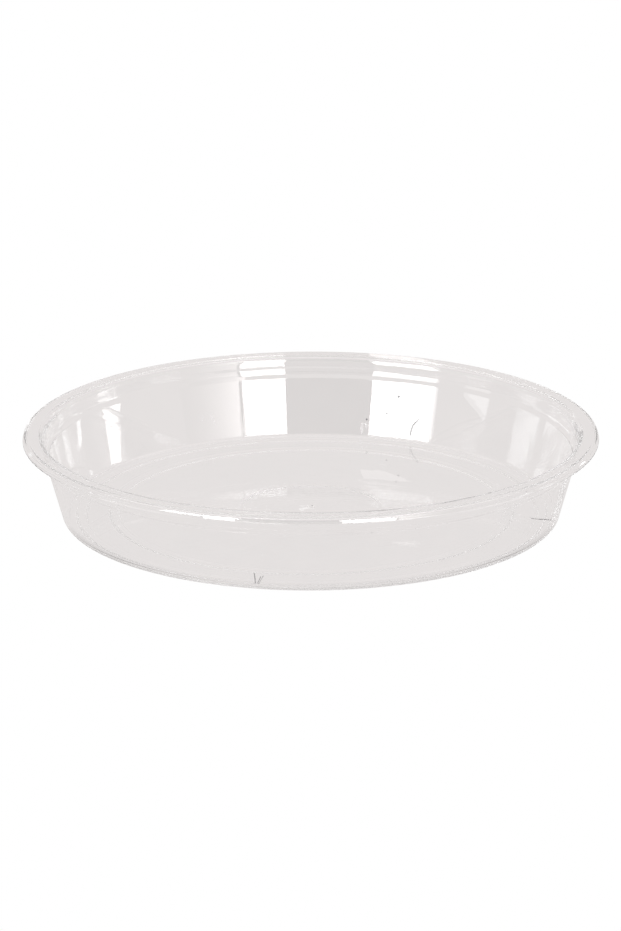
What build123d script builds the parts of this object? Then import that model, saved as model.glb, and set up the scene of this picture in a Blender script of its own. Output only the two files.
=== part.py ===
from build123d import *
import math
import os

# Clear moulded plant saucer, one piece, millimetres, +Z up.
# The origin is the middle of the standing face, and +Z is the axis of the dish.
# The whole dish is one closed profile turned about +Z. Each corner of the profile
# is (radius from the axis, height, rounding radius).

# ---- driving dimensions ---------------------------------------------------
RIM_R = 127.0            # largest radius, at the foot of the turned-down lip
HEIGHT = 38.5            # standing face to the top of the rim
FLANGE_IN_R = 119.02     # where the flat top of the rim meets the flare inside
RIM_T = 1.7              # thickness of the rim
LIP_FOOT_Z = 35.2        # lower edge of the turned-down lip
LIP_T = 1.5              # thickness of the lip

FOOT_H = 0.6             # height of the two foot ribs under the floor
BASE_R = 109.9           # the outer wall's cone at the underside of the floor
WALL_TAPER = 0.2712      # how far the wall runs outwards for each mm of height
WALL_T = 1.9             # wall thickness, square to the wall
BASE_T = 1.5             # floor thickness

STEP_Z = 28.8            # height of the small stacking step inside the wall
COLLAR_R = 117.0         # inside radius of the collar, above the step

FOOT_A_R = 102.25        # middle of the outer foot rib
FOOT_B_R = 87.95         # middle of the inner foot rib
FOOT_W = 2.6             # width of a foot rib at its standing face
FOOT_RUN = 1.2           # how far each side of a rib slopes out as it rises
CENTRE_R = 31.0          # shallow round recess at the middle of the underside
CENTRE_D = 0.12
GATE_R = 1.6             # moulding point under the middle of the floor
GATE_H = 0.4

wall_dr = WALL_T * math.sqrt(1.0 + WALL_TAPER ** 2)   # wall thickness measured level


def outer(z):
    return BASE_R + WALL_TAPER * (z - FOOT_H)


def inner(z):
    return outer(z) - wall_dr


low = FOOT_H                     # underside of the floor
top = FOOT_H + BASE_T            # top of the floor
half = FOOT_W / 2.0

profile = [
    # underside, from the axis outwards
    (0.0, low + CENTRE_D - GATE_H, 0.0),
    (GATE_R, low + CENTRE_D - GATE_H, 0.15),
    (GATE_R + 0.15, low + CENTRE_D, 0.12),
    (CENTRE_R - 0.8, low + CENTRE_D, 2.5),
    (CENTRE_R + 0.4, low, 2.5),
    (FOOT_B_R - half - FOOT_RUN, low, 2.4),
    (FOOT_B_R - half, 0.0, 2.4),
    (FOOT_B_R + half, 0.0, 2.4),
    (FOOT_B_R + half + FOOT_RUN, low, 2.4),
    (FOOT_A_R - half - FOOT_RUN, low, 2.4),
    (FOOT_A_R - half, 0.0, 2.4),
    (FOOT_A_R + half, 0.0, 2.4),
    (FOOT_A_R + half + FOOT_RUN, low, 2.4),
    # corner to the wall
    (BASE_R, low, 2.2),
    # outside of the wall, step and collar
    (outer(STEP_Z - 1.34), STEP_Z - 1.34, 1.5),
    (COLLAR_R + 1.63, STEP_Z + 1.48, 2.5),
    (COLLAR_R + 2.42, HEIGHT - RIM_T - 0.85, 3.0),
    # underside of the rim, and the lip
    (COLLAR_R + 2.96, HEIGHT - RIM_T, 0.5),
    (RIM_R - LIP_T - 0.75, HEIGHT - RIM_T, 0.6),
    (RIM_R - LIP_T, LIP_FOOT_Z, 0.45),
    (RIM_R + 0.122, LIP_FOOT_Z, 0.55),
    (RIM_R - 0.66, HEIGHT, 2.6),
    # top of the rim, then the flare down to the collar and the step
    (FLANGE_IN_R, HEIGHT, 1.65),
    (COLLAR_R + 0.58, HEIGHT - 2.25, 6.0),
    (COLLAR_R + 0.105, HEIGHT - 4.7, 18.0),
    (COLLAR_R - 0.11, STEP_Z + 3.5, 9.0),
    (COLLAR_R - 0.29, STEP_Z + 2.62, 12.0),
    (COLLAR_R - 0.51, STEP_Z + 1.76, 8.0),
    (COLLAR_R - 0.72, STEP_Z + 1.06, 0.5),
    # inside of the wall, the inner corner and the floor
    (inner(STEP_Z - 0.65), STEP_Z - 0.65, 0.9),
    (inner(top), top, 1.5),
    (0.0, top, 0.0),
]


def rounded(points):
    """Straight edges and tangent arcs through the corners of a closed profile."""
    n = len(points)
    ends = []
    for i in range(n):
        x, z, r = points[i]
        if r == 0.0:
            ends.append(((x, z), None, (x, z)))
            continue
        ax, az = points[i - 1][0] - x, points[i - 1][1] - z
        bx, bz = points[(i + 1) % n][0] - x, points[(i + 1) % n][1] - z
        la, lb = math.hypot(ax, az), math.hypot(bx, bz)
        ax, az, bx, bz = ax / la, az / la, bx / lb, bz / lb
        half = math.acos(max(-1.0, min(1.0, ax * bx + az * bz))) / 2.0
        cut = r / math.tan(half)
        mx, mz = ax + bx, az + bz
        lm = math.hypot(mx, mz)
        mx, mz = mx / lm, mz / lm
        reach = r / math.sin(half) - r
        ends.append((
            (x + ax * cut, z + az * cut),
            (x + mx * reach, z + mz * reach),
            (x + bx * cut, z + bz * cut),
        ))
        if cut > 0.98 * min(la, lb):
            print("corner", i, "cut", round(cut, 3), "is long for", round(min(la, lb), 3))
    edges = []
    for i in range(n):
        start, mid, end = ends[i]
        if mid is not None:
            edges.append(ThreePointArc((start[0], 0, start[1]), (mid[0], 0, mid[1]), (end[0], 0, end[1])))
        nxt = ends[(i + 1) % n][0]
        run = (nxt[0] - end[0]) * (points[(i + 1) % n][0] - points[i][0]) \
            + (nxt[1] - end[1]) * (points[(i + 1) % n][1] - points[i][1])
        if run < 0:
            print("corner", i, "overlaps the next one")
        edges.append(Line((end[0], 0, end[1]), (nxt[0], 0, nxt[1])))
    return edges


section = make_face(rounded(profile))
saucer = revolve(section, axis=Axis.Z, revolution_arc=360)

os.makedirs("parts", exist_ok=True)
saucer.label = "saucer"
export_step(saucer, "parts/saucer.step")

box = saucer.bounding_box()
print("size", [round(v, 2) for v in box.size], "low", [round(v, 2) for v in box.min])
print("volume mm3", round(saucer.volume, 1))
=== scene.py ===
import math

import bpy
import numpy as np
from mathutils import Matrix, Vector


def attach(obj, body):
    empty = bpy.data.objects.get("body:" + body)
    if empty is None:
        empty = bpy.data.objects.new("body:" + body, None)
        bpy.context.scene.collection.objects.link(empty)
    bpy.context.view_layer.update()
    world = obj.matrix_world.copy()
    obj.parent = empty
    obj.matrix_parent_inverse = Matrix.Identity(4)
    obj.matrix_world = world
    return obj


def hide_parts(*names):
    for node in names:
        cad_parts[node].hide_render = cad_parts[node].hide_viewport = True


# Clear moulded plant saucer on a plain white sweep, metres, +Z up.

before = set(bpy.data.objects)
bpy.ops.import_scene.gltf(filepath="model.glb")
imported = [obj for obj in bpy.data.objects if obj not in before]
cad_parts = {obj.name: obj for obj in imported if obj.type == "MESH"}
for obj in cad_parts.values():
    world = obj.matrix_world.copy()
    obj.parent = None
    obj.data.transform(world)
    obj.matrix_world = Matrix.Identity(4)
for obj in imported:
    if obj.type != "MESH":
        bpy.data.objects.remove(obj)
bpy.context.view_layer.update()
scene = bpy.context.scene
MM = 0.001

# ---------------------------------------------------------------------------
# the dish's own sizes, in millimetres
# ---------------------------------------------------------------------------
RIM_R = 127.0
HEIGHT = 38.5
FLANGE_IN_R = 119.02
RIM_T = 1.7
LIP_FOOT_Z = 35.2
LIP_T = 1.5
FOOT_H = 0.6
BASE_R = 109.9
WALL_TAPER = 0.2712
WALL_T = 1.9
BASE_T = 1.5
STEP_Z = 28.8
COLLAR_R = 117.0
FOOT_A_R = 102.25
FOOT_B_R = 87.95
FOOT_W = 2.6
FOOT_RUN = 1.2
CENTRE_R = 31.0
CENTRE_D = 0.12
GATE_R = 1.6
GATE_H = 0.4

wall_dr = WALL_T * math.sqrt(1.0 + WALL_TAPER ** 2)


def outer(z):
    return BASE_R + WALL_TAPER * (z - FOOT_H)


def inner(z):
    return outer(z) - wall_dr


low = FOOT_H
top = FOOT_H + BASE_T
half_w = FOOT_W / 2.0

PROFILE = [
    (0.0, low + CENTRE_D - GATE_H, 0.0),
    (GATE_R, low + CENTRE_D - GATE_H, 0.15),
    (GATE_R + 0.15, low + CENTRE_D, 0.12),
    (CENTRE_R - 0.8, low + CENTRE_D, 2.5),
    (CENTRE_R + 0.4, low, 2.5),
    (FOOT_B_R - half_w - FOOT_RUN, low, 2.4),
    (FOOT_B_R - half_w, 0.0, 2.4),
    (FOOT_B_R + half_w, 0.0, 2.4),
    (FOOT_B_R + half_w + FOOT_RUN, low, 2.4),
    (FOOT_A_R - half_w - FOOT_RUN, low, 2.4),
    (FOOT_A_R - half_w, 0.0, 2.4),
    (FOOT_A_R + half_w, 0.0, 2.4),
    (FOOT_A_R + half_w + FOOT_RUN, low, 2.4),
    (BASE_R, low, 2.2),
    (outer(STEP_Z - 1.34), STEP_Z - 1.34, 1.5),
    (COLLAR_R + 1.63, STEP_Z + 1.48, 2.5),
    (COLLAR_R + 2.42, HEIGHT - RIM_T - 0.85, 3.0),
    (COLLAR_R + 2.96, HEIGHT - RIM_T, 0.5),
    (RIM_R - LIP_T - 0.75, HEIGHT - RIM_T, 0.6),
    (RIM_R - LIP_T, LIP_FOOT_Z, 0.45),
    (RIM_R + 0.122, LIP_FOOT_Z, 0.55),
    (RIM_R - 0.66, HEIGHT, 2.6),
    (FLANGE_IN_R, HEIGHT, 1.65),
    (COLLAR_R + 0.58, HEIGHT - 2.25, 6.0),
    (COLLAR_R + 0.105, HEIGHT - 4.7, 18.0),
    (COLLAR_R - 0.11, STEP_Z + 3.5, 9.0),
    (COLLAR_R - 0.29, STEP_Z + 2.62, 12.0),
    (COLLAR_R - 0.51, STEP_Z + 1.76, 8.0),
    (COLLAR_R - 0.72, STEP_Z + 1.06, 0.5),
    (inner(STEP_Z - 0.65), STEP_Z - 0.65, 0.9),
    (inner(top), top, 1.5),
    (0.0, top, 0.0),
]


def sampled(points, step=0.18, turn=math.radians(4.0)):
    """(radius, height, normal radius, normal height) along the closed profile."""
    out = []
    n = len(points)
    for i in range(n):
        x, z, r = points[i]
        ax, az = points[i - 1][0] - x, points[i - 1][1] - z
        bx, bz = points[(i + 1) % n][0] - x, points[(i + 1) % n][1] - z
        la, lb = math.hypot(ax, az), math.hypot(bx, bz)
        ax, az, bx, bz = ax / la, az / la, bx / lb, bz / lb
        if r == 0.0:
            # only the two points on the axis: keep the normal upright
            side = -1.0 if i == 0 else 1.0
            out.append((x, z, 0.0, side))
            continue
        half = math.acos(max(-1.0, min(1.0, ax * bx + az * bz))) / 2.0
        cut = r / math.tan(half)
        px, pz = x + ax * cut, z + az * cut
        qx, qz = x + bx * cut, z + bz * cut
        mx, mz = ax + bx, az + bz
        lm = math.hypot(mx, mz)
        cx, cz = x + mx / lm * r / math.sin(half), z + mz / lm * r / math.sin(half)
        a0 = math.atan2(pz - cz, px - cx)
        a1 = math.atan2(qz - cz, qx - cx)
        d = (a1 - a0 + math.pi) % (2.0 * math.pi) - math.pi
        # the profile runs with the material on its left: outside is to the right
        convex = (-ax * bz + az * bx) > 0
        steps = max(3, int(math.ceil(abs(d) / turn)))
        for k in range(steps + 1):
            a = a0 + d * k / steps
            nx, nz = math.cos(a), math.sin(a)
            if not convex:
                nx, nz = -nx, -nz
            out.append((cx + r * math.cos(a), cz + r * math.sin(a), nx, nz))
    return out


# the slow unevenness of a moulded sheet: wave directions, phases and heights in millimetres
rng = np.random.default_rng(7)
WAVES = []
for length in (34.0, 41.0, 48.0, 57.0, 66.0, 80.0, 95.0, 120.0):
    d = rng.normal(size=3)
    WAVES.append((d / np.linalg.norm(d) * 2.0 * math.pi / length, rng.uniform(0.0, 2.0 * math.pi), 0.00026 * length))


def uneven(verts, normals):
    """Moves the skin by a few hundredths of a millimetre, less towards the rim and the feet."""
    v = np.array(verts) / MM
    n = np.array(normals)
    z = v[:, 2]
    r = np.hypot(v[:, 0], v[:, 1])
    foot = np.clip(z / 0.55, 0.0, 1.0)
    brim = np.clip((37.0 - z) / 3.0, 0.0, 1.0) * np.clip((121.0 - r) / 2.0, 0.0, 1.0)
    w = (foot * foot * (3.0 - 2.0 * foot)) * (brim * brim * (3.0 - 2.0 * brim))
    h = np.zeros(len(v))
    grad = np.zeros_like(v)
    for k, phase, amp in WAVES:
        arg = v @ k + phase
        h += amp * np.sin(arg)
        grad += (amp * np.cos(arg))[:, None] * k[None, :]
    grad -= n * np.sum(grad * n, axis=1)[:, None]
    v += n * (h * w)[:, None]
    n = n - grad * w[:, None]
    n /= np.linalg.norm(n, axis=1)[:, None]
    return v * MM, n


def lathe(name, pts, segments):
    """A closed skin turned about +Z, with the profile's own normals."""
    ring = [p for p in pts if p[0] > 1e-9]
    m = len(ring)
    verts, normals, faces = [], [], []
    for s in range(segments):
        a = 2.0 * math.pi * s / segments
        ca, sa = math.cos(a), math.sin(a)
        for x, z, nx, nz in ring:
            verts.append((x * ca * MM, x * sa * MM, z * MM))
            normals.append((nx * ca, nx * sa, nz))
    bottom = len(verts)
    verts.append((0.0, 0.0, pts[0][1] * MM))
    normals.append((0.0, 0.0, -1.0))
    verts.append((0.0, 0.0, pts[-1][1] * MM))
    normals.append((0.0, 0.0, 1.0))
    for s in range(segments):
        t = (s + 1) % segments
        for k in range(m - 1):
            faces.append((s * m + k, t * m + k, t * m + k + 1, s * m + k + 1))
        faces.append((bottom, t * m, s * m))
        faces.append((bottom + 1, s * m + m - 1, t * m + m - 1))
    verts, normals = uneven(verts, normals)
    mesh = bpy.data.meshes.new(name)
    mesh.from_pydata(verts.tolist(), [], faces)
    mesh.polygons.foreach_set("use_smooth", [True] * len(mesh.polygons))
    mesh.normals_split_custom_set_from_vertices(normals.tolist())
    mesh.validate(clean_customdata=False)
    obj = bpy.data.objects.new(name, mesh)
    scene.collection.objects.link(obj)
    return obj


def densify(pts):
    """More rings across the long flat runs, so that no face is a long sliver."""
    out = [pts[0]]
    for a, b in zip(pts, pts[1:]):
        run = math.hypot(b[0] - a[0], b[1] - a[1])
        parts = max(1, int(run / 3.0))
        for k in range(1, parts):
            t = k / parts
            if a[0] < 1e-9:
                n = (b[2], b[3])
            else:
                n = (a[2], a[3])
            out.append((a[0] + (b[0] - a[0]) * t, a[1] + (b[1] - a[1]) * t, n[0], n[1]))
        out.append(b)
    return out


pts = densify(sampled(PROFILE))
# the lowest ring is exactly on the standing face and the widest exactly at the rim
dish = lathe("saucer_clear", pts, 512)

# ---------------------------------------------------------------------------
# material: clear polystyrene
# ---------------------------------------------------------------------------


# small signs of handling, in millimetres: the points of each mark, and how wide it is
DARK_MARKS = [
    ([(41.32, 105.86, 21.65)], 0.5),
    ([(35.75, 105.57, 13.61)], 0.36),
    ([(26.38, 107.32, 10.11)], 0.40),
    ([(90.29, -88.78, 37.56)], 0.24),
    ([(118.85, -43.82, 37.27)], 0.14),
    ([(115.45, -22.16, 38.5)], 0.18),
    ([(-113.1, -36.4, 38.5)], 0.20),
    ([(0.6, 0.9, 2.1)], 0.30),
    ([(50.45, 99.03, 12.44), (48.13, 99.36, 9.7), (47.19, 99.09, 7.33), (46.77, 98.6, 5.03)], 0.24),
    ([(-23.67, -109.54, 8.58), (-23.36, -108.97, 6.31), (-23.26, -108.28, 3.74)], 0.10),
    ([(-22.34, -108.49, 3.81), (-20.93, -109.69, 7.13)], 0.06),
    ([(-21.93, -108.49, 3.5), (-19.88, -110.03, 7.64)], 0.04),
    ([(94.03, -65.41, 17.71), (98.68, -56.3, 14.29), (101.23, -50.31, 12.17), (104.46, -40.8, 8.89)], 0.09),
]
SCUFFS = [
    ([(24.16, 107.22, 7.88), (23.92, 106.76, 6.05), (24.06, 106.23, 4.24)], 0.35),
    ([(25.71, 107.01, 8.43), (26.42, 106.34, 6.66)], 0.15),
    ([(-50.76, 99.37, 14.06), (-50.62, 98.97, 12.52)], 0.15),
    ([(-22.75, -108.75, 5.2), (-21.9, -108.9, 4.9)], 0.45),
    ([(-46.12, 101.63, 14.16), (-45.8, 101.23, 12.32), (-45.25, 100.87, 10.27)], 0.22),
]


def clear_plastic():
    mat = bpy.data.materials.new("clear_plastic")
    mat.use_nodes = True
    nt = mat.node_tree
    links = nt.links
    bsdf = nt.nodes["Principled BSDF"]
    bsdf.inputs["Metallic"].default_value = 0.0
    bsdf.inputs["IOR"].default_value = 1.58
    bsdf.inputs["Transmission Weight"].default_value = 1.0

    coord = nt.nodes.new("ShaderNodeTexCoord")
    mm = nt.nodes.new("ShaderNodeVectorMath")
    mm.operation = "SCALE"
    mm.inputs["Scale"].default_value = 1000.0
    links.new(coord.outputs["Object"], mm.inputs[0])
    place = mm.outputs[0]

    def noise(scale, detail):
        node = nt.nodes.new("ShaderNodeTexNoise")
        node.inputs["Scale"].default_value = scale
        node.inputs["Detail"].default_value = detail
        node.inputs["Roughness"].default_value = 0.5
        links.new(place, node.inputs["Vector"])
        return node.outputs[0]

    def spread(value, a, b, c, d):
        node = nt.nodes.new("ShaderNodeMapRange")
        for k, v in enumerate((a, b, c, d)):
            node.inputs[k + 1].default_value = v
        links.new(value, node.inputs[0])
        return node.outputs[0]

    def math_node(kind, a, b):
        node = nt.nodes.new("ShaderNodeMath")
        node.operation = kind
        links.new(a, node.inputs[0])
        if isinstance(b, float):
            node.inputs[1].default_value = b
        else:
            links.new(b, node.inputs[1])
        return node.outputs[0]

    def distance(p, q):
        """How far each point of the surface is from the stroke p-q."""
        rel = nt.nodes.new("ShaderNodeVectorMath")
        rel.operation = "SUBTRACT"
        rel.inputs[1].default_value = p
        links.new(place, rel.inputs[0])
        out = rel.outputs[0]
        run = math.dist(p, q)
        if run > 0.0:
            u = tuple((b - a) / run for a, b in zip(p, q))
            dot = nt.nodes.new("ShaderNodeVectorMath")
            dot.operation = "DOT_PRODUCT"
            dot.inputs[1].default_value = u
            links.new(out, dot.inputs[0])
            along = spread(dot.outputs["Value"], 0.0, run, 0.0, run)
            back = nt.nodes.new("ShaderNodeVectorMath")
            back.operation = "SCALE"
            back.inputs[0].default_value = u
            links.new(along, back.inputs["Scale"])
            rest = nt.nodes.new("ShaderNodeVectorMath")
            rest.operation = "SUBTRACT"
            links.new(out, rest.inputs[0])
            links.new(back.outputs[0], rest.inputs[1])
            out = rest.outputs[0]
        length = nt.nodes.new("ShaderNodeVectorMath")
        length.operation = "LENGTH"
        links.new(out, length.inputs[0])
        return length.outputs["Value"]

    def marks(strokes, soft):
        total = None
        for points, width in strokes:
            near = None
            for p, q in zip(points, points[1:] or points):
                d = distance(p, q)
                near = d if near is None else math_node("MINIMUM", near, d)
            mask = spread(near, width, width + soft, 1.0, 0.0)
            total = mask if total is None else math_node("MAXIMUM", total, mask)
        return total

    dark = marks(DARK_MARKS, 0.16)
    worn = marks(SCUFFS, 0.35)

    # colour: water clear with a faint unevenness, and the dark marks
    tint = nt.nodes.new("ShaderNodeValToRGB")
    tint.color_ramp.elements[0].position = 0.35
    tint.color_ramp.elements[0].color = (0.990, 0.991, 0.992, 1.0)
    tint.color_ramp.elements[1].position = 0.65
    tint.color_ramp.elements[1].color = (1.0, 1.0, 1.0, 1.0)
    cloud = noise(0.09, 3.0)
    links.new(cloud, tint.inputs[0])
    mix = nt.nodes.new("ShaderNodeMix")
    mix.data_type = "RGBA"
    mix.inputs[7].default_value = (0.045, 0.045, 0.05, 1.0)
    links.new(dark, mix.inputs[0])
    links.new(tint.outputs[0], mix.inputs[6])
    links.new(mix.outputs[2], bsdf.inputs["Base Color"])

    # roughness: polished, with a slight haze in patches, frosted in the scuffs
    haze = spread(cloud, 0.5, 0.75, 0.0, 0.01)
    scuffed = math_node("MULTIPLY", worn, 0.38)
    rough = math_node("MAXIMUM", haze, scuffed)
    rough = math_node("MAXIMUM", rough, math_node("MULTIPLY", dark, 0.30))
    links.new(rough, bsdf.inputs["Roughness"])

    # bump: a fine ripple, a few millimetres long
    fine = nt.nodes.new("ShaderNodeBump")
    fine.inputs["Strength"].default_value = 1.0
    fine.inputs["Distance"].default_value = 0.000004
    links.new(noise(0.3, 1.0), fine.inputs["Height"])
    links.new(fine.outputs[0], bsdf.inputs["Normal"])

    depth = nt.nodes.new("ShaderNodeVolumeAbsorption")
    depth.inputs["Color"].default_value = (0.772, 0.780, 0.784, 1.0)
    depth.inputs["Density"].default_value = 3.0
    links.new(depth.outputs[0], nt.nodes["Material Output"].inputs["Volume"])
    return mat


dish.data.materials.append(clear_plastic())
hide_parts("saucer")
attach(dish, "root")

# ---------------------------------------------------------------------------
# stage: white floor, softboxes, sky
# ---------------------------------------------------------------------------


PALE = (0.786, 0.756, 0.748)


def emission_material(name, colour, strength, glow=False):
    mat = bpy.data.materials.new(name)
    mat.use_nodes = True
    nt = mat.node_tree
    nt.nodes.clear()
    em = nt.nodes.new("ShaderNodeEmission")
    em.inputs["Color"].default_value = (*colour, 1.0)
    em.inputs["Strength"].default_value = strength
    if glow:
        att = nt.nodes.new("ShaderNodeAttribute")
        att.attribute_name = "glow"
        nt.links.new(att.outputs["Fac"], em.inputs["Strength"])
    om = nt.nodes.new("ShaderNodeOutputMaterial")
    nt.links.new(em.outputs[0], om.inputs["Surface"])
    return mat


def stage_piece(name, verts, faces, mat):
    mesh = bpy.data.meshes.new(name)
    mesh.from_pydata([tuple(v) for v in verts], [], faces)
    mesh.materials.append(mat)
    obj = bpy.data.objects.new(name, mesh)
    scene.collection.objects.link(obj)
    obj.visible_camera = False
    obj.visible_shadow = False
    return obj


def softbox(name, az0, az1, el0, el1, strength, dist=3.0, colour=(1.0, 1.0, 1.0), edge=None):
    """A curved soft box around the dish. Azimuth 0 is the camera's side and + is +X; edge is the strength at az1."""
    nu, nv = 24, 12
    foot = el0 if isinstance(el0, tuple) else (el0, el0)
    verts, faces, glow = [], [], []
    for j in range(nv + 1):
        for i in range(nu + 1):
            t = i / nu
            low_el = foot[0] + (foot[1] - foot[0]) * t
            e = math.radians(low_el + (el1 - low_el) * j / nv)
            a = math.radians(az0 + (az1 - az0) * t)
            verts.append((dist * math.sin(a) * math.cos(e), -dist * math.cos(a) * math.cos(e), dist * math.sin(e)))
            glow.append(strength if edge is None else edge + (strength - edge) * (1.0 - t) ** 2)
    for j in range(nv):
        for i in range(nu):
            k = j * (nu + 1) + i
            faces.append((k, k + 1, k + nu + 2, k + nu + 1))
    obj = stage_piece(name, verts, faces, emission_material(name, colour, strength, glow=True))
    layer = obj.data.attributes.new("glow", "FLOAT", "POINT")
    layer.data.foreach_set("value", glow)
    return obj


def card(name, corners, strength, colour=(1.0, 1.0, 1.0)):
    """A small light or grey card standing beside the dish, by its four corners in millimetres."""
    verts = [(x * MM, y * MM, z * MM) for x, y, z in corners]
    return stage_piece(name, verts, [(0, 1, 2, 3)], emission_material(name, colour, strength))


softbox("softbox_right", 11.6, 31.9, 3.0, 35.0, 8.0)
softbox("frame_right", 31.9, 33.3, 2.0, 38.0, 0.02, dist=3.1, colour=PALE)
softbox("softbox_left", -59.2, -28.5, 7.0, 33.0, 8.0)
softbox("soft_edge_left", -60.4, -59.2, 7.0, 33.0, 2.6)
softbox("glow_right", 33.3, 62.0, 2.0, 46.0, 3.8, edge=0.85, colour=PALE)
softbox("dark_gap", -28.5, 11.6, 0.5, 38.0, 0.02, dist=3.1, colour=PALE)
card("card_right", [(300, 161, 0), (300, 193, 0), (300, 165, 66), (300, 96, 70)], 5.0)
card("card_left", [(-280, 180, 0), (-240, 274, 0), (-240, 256, 52), (-280, 155, 56)], 1.12)
card("card_right_back", [(280, 330, 0), (267, 343, 0), (304, 306, 40), (317, 293, 40)], 2.5)
card("strip_right_back", [(280, 335, 0.1), (267, 343, 0.1), (128, 244, 0.1), (165, 258, 0.1)], 2.2)
card("card_left_back", [(-269, 340, 0), (-211, 388, 0), (-211, 388, 50), (-269, 340, 50)], 1.6)
softbox("high_left", -88.0, -74.0, (5.2, 7.6), 14.0, 1.9)
softbox("overhead", 90.0, 270.0, 45.0, 90.0, 1.5, dist=3.4, colour=PALE)
# small lights behind the dish, mirrored in its floor
card("gleam_middle", [(-8.0, 250, 78.6), (-3.0, 250, 78.6), (-3.0, 250, 80.2), (-8.0, 250, 80.2)], 1.7)
card("patch_high", [(25.2, 250, 64.4), (38.0, 250, 64.2), (52.0, 250, 70.0), (27.3, 250, 69.0)], 1.4, PALE)
card("patch_low", [(28.3, 250, 73.7), (42.0, 250, 73.5), (65.0, 250, 80.2), (34.0, 250, 79.2)], 1.9, PALE)
# two grey cards keep the side lights off the ends of the rim
card("flag_right", [(150, -14, 0), (150, 60, 0), (150, 60, 66), (150, -14, 66)], 1.0, PALE)
card("flag_left", [(-150, 8, 0), (-150, 72, 0), (-150, 72, 39), (-150, 8, 69)], 1.0, PALE)

# floor: pure white to the camera, a little greyer through the plastic
floor_mesh = bpy.data.meshes.new("floor")
S = 6.0
floor_mesh.from_pydata([(-S, -S, -0.0002), (S, -S, -0.0002), (S, S, -0.0002), (-S, S, -0.0002)], [], [(0, 1, 2, 3)])
floor = bpy.data.objects.new("floor", floor_mesh)
scene.collection.objects.link(floor)
fmat = bpy.data.materials.new("floor_white")
fmat.use_nodes = True
nt = fmat.node_tree
nt.nodes.clear()
lp = nt.nodes.new("ShaderNodeLightPath")
em_cam = nt.nodes.new("ShaderNodeEmission")
em_cam.inputs["Strength"].default_value = 1.0
em_thru = nt.nodes.new("ShaderNodeEmission")
em_thru.inputs["Color"].default_value = (*PALE, 1.0)
mix = nt.nodes.new("ShaderNodeMixShader")
om = nt.nodes.new("ShaderNodeOutputMaterial")
nt.links.new(lp.outputs["Is Camera Ray"], mix.inputs[0])
nt.links.new(em_thru.outputs[0], mix.inputs[1])
nt.links.new(em_cam.outputs[0], mix.inputs[2])
nt.links.new(mix.outputs[0], om.inputs["Surface"])
floor_mesh.materials.append(fmat)
floor.visible_shadow = False

# the shaded strip of floor under the dish's lower edge, on the camera's side
verts, faces = [], []
for i in range(97):
    a = math.radians(-96.0 + 192.0 * i / 96)
    for r in (109.4, 113.2):
        verts.append((r * MM * math.sin(a), -r * MM * math.cos(a), -0.0001))
for i in range(96):
    faces.append((2 * i, 2 * i + 2, 2 * i + 3, 2 * i + 1))
shade = stage_piece("contact_shade", verts, faces, emission_material("contact_shade", PALE, 1.0, glow=True))
# it fades out towards its two ends
fade = [0.30 + 0.70 * min(1.0, max(0.0, (abs(-96.0 + 192.0 * (k // 2) / 96) - 50.0) / 28.0)) for k in range(len(verts))]
shade.data.attributes.new("glow", "FLOAT", "POINT").data.foreach_set("value", fade)

# sky
world = bpy.data.worlds.new("studio")
scene.world = world
world.use_nodes = True
nt = world.node_tree
nt.nodes.clear()
bg_env = nt.nodes.new("ShaderNodeBackground")
bg_env.inputs["Color"].default_value = (*PALE, 1.0)
bg_cam = nt.nodes.new("ShaderNodeBackground")
bg_cam.inputs["Color"].default_value = (1, 1, 1, 1)
lp = nt.nodes.new("ShaderNodeLightPath")
mix = nt.nodes.new("ShaderNodeMixShader")
om = nt.nodes.new("ShaderNodeOutputWorld")
nt.links.new(lp.outputs["Is Camera Ray"], mix.inputs[0])
nt.links.new(bg_env.outputs[0], mix.inputs[1])
nt.links.new(bg_cam.outputs[0], mix.inputs[2])
nt.links.new(mix.outputs[0], om.inputs["Surface"])

# ---------------------------------------------------------------------------
# camera
# ---------------------------------------------------------------------------
AIM = Vector((0.0, 0.0, 0.0215945))
DIST = 1.6475628
EL = math.radians(17.4177)
ROLL = math.radians(0.1408)
PX_PER_MM = 2.2580
cam_data = bpy.data.cameras.new("camera")
cam = bpy.data.objects.new("camera", cam_data)
scene.collection.objects.link(cam)
cam_data.sensor_fit = "VERTICAL"
cam_data.sensor_height = 36.0
cam_data.lens = 36.0 / (931.0 / PX_PER_MM) * DIST * 1000.0
cam_data.clip_start = 0.05
cam_data.clip_end = 50.0
cam_data.dof.use_dof = False
cam_data.shift_x = -0.3496 / 931.0
cam_data.shift_y = -1.0603 / 931.0
back = Vector((0.0, -math.cos(EL), math.sin(EL)))
right0 = Vector((1.0, 0.0, 0.0))
up0 = back.cross(right0)
right = right0 * math.cos(ROLL) - up0 * math.sin(ROLL)
up = right0 * math.sin(ROLL) + up0 * math.cos(ROLL)
m = Matrix.Identity(4)
for i in range(3):
    m[i][0], m[i][1], m[i][2] = right[i], up[i], back[i]
m.translation = AIM + back * DIST
cam.matrix_world = m
scene.camera = cam

# ---------------------------------------------------------------------------
# view and light paths
# ---------------------------------------------------------------------------
scene.view_settings.view_transform = "Standard"
scene.view_settings.look = "None"
scene.view_settings.exposure = 0.0
scene.view_settings.gamma = 1.0
scene.cycles.max_bounces = 160
scene.cycles.glossy_bounces = 160
scene.cycles.transmission_bounces = 160
scene.cycles.diffuse_bounces = 2
scene.cycles.transparent_max_bounces = 16
scene.cycles.caustics_reflective = True
scene.cycles.caustics_refractive = True
scene.cycles.blur_glossy = 0.0
scene.cycles.sample_clamp_indirect = 4.0
